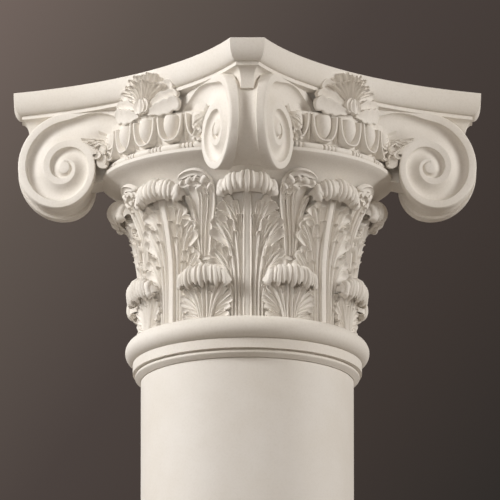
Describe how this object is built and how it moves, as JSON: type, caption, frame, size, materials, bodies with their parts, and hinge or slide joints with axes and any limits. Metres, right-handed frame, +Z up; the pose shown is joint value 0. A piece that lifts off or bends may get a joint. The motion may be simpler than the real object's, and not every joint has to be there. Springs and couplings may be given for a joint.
{
  "type": "composite column capital",
  "caption": "Round column capital with diagonal scrolls, egg moulding and hollow-sided abacus over acanthus leaves, on the plain head of its shaft.",
  "frame": {"origin": "centre of the shaft head's flat underside, at the middle of the column", "axes": "+Z up along the column; the four hollow faces of the abacus look along +X, -X, +Y and -Y, and the scrolls stand on the diagonals"},
  "size_m": [0.502, 0.502, 0.6356],
  "materials": {
    "cast_stone": "smooth matt cast stone, warm off-white"
  },
  "bodies": {
    "root": {"capital": "cast_stone", "shaft_head": "cast_stone"}
  },
  "joints": []
}
